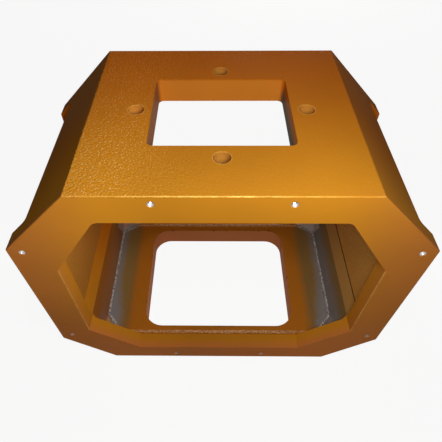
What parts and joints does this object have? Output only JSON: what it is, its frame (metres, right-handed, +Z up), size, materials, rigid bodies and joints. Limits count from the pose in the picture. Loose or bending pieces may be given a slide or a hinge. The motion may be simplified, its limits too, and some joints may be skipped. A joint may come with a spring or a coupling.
{
  "type": "gearbox housing",
  "caption": "Thick-walled eight-sided gearbox housing, open at both ends, with a roof window, a floor window and tapped cover faces.",
  "frame": {"origin": "middle of the flat base, on the surface the housing stands on", "axes": "+Z up, +X to the right seen from the front end, -Y out of the front end window"},
  "size_m": [0.276, 0.16, 0.222],
  "materials": {
    "orange_paint": "satin textured orange paint"
  },
  "bodies": {
    "root": {"housing": "orange_paint"}
  },
  "joints": []
}
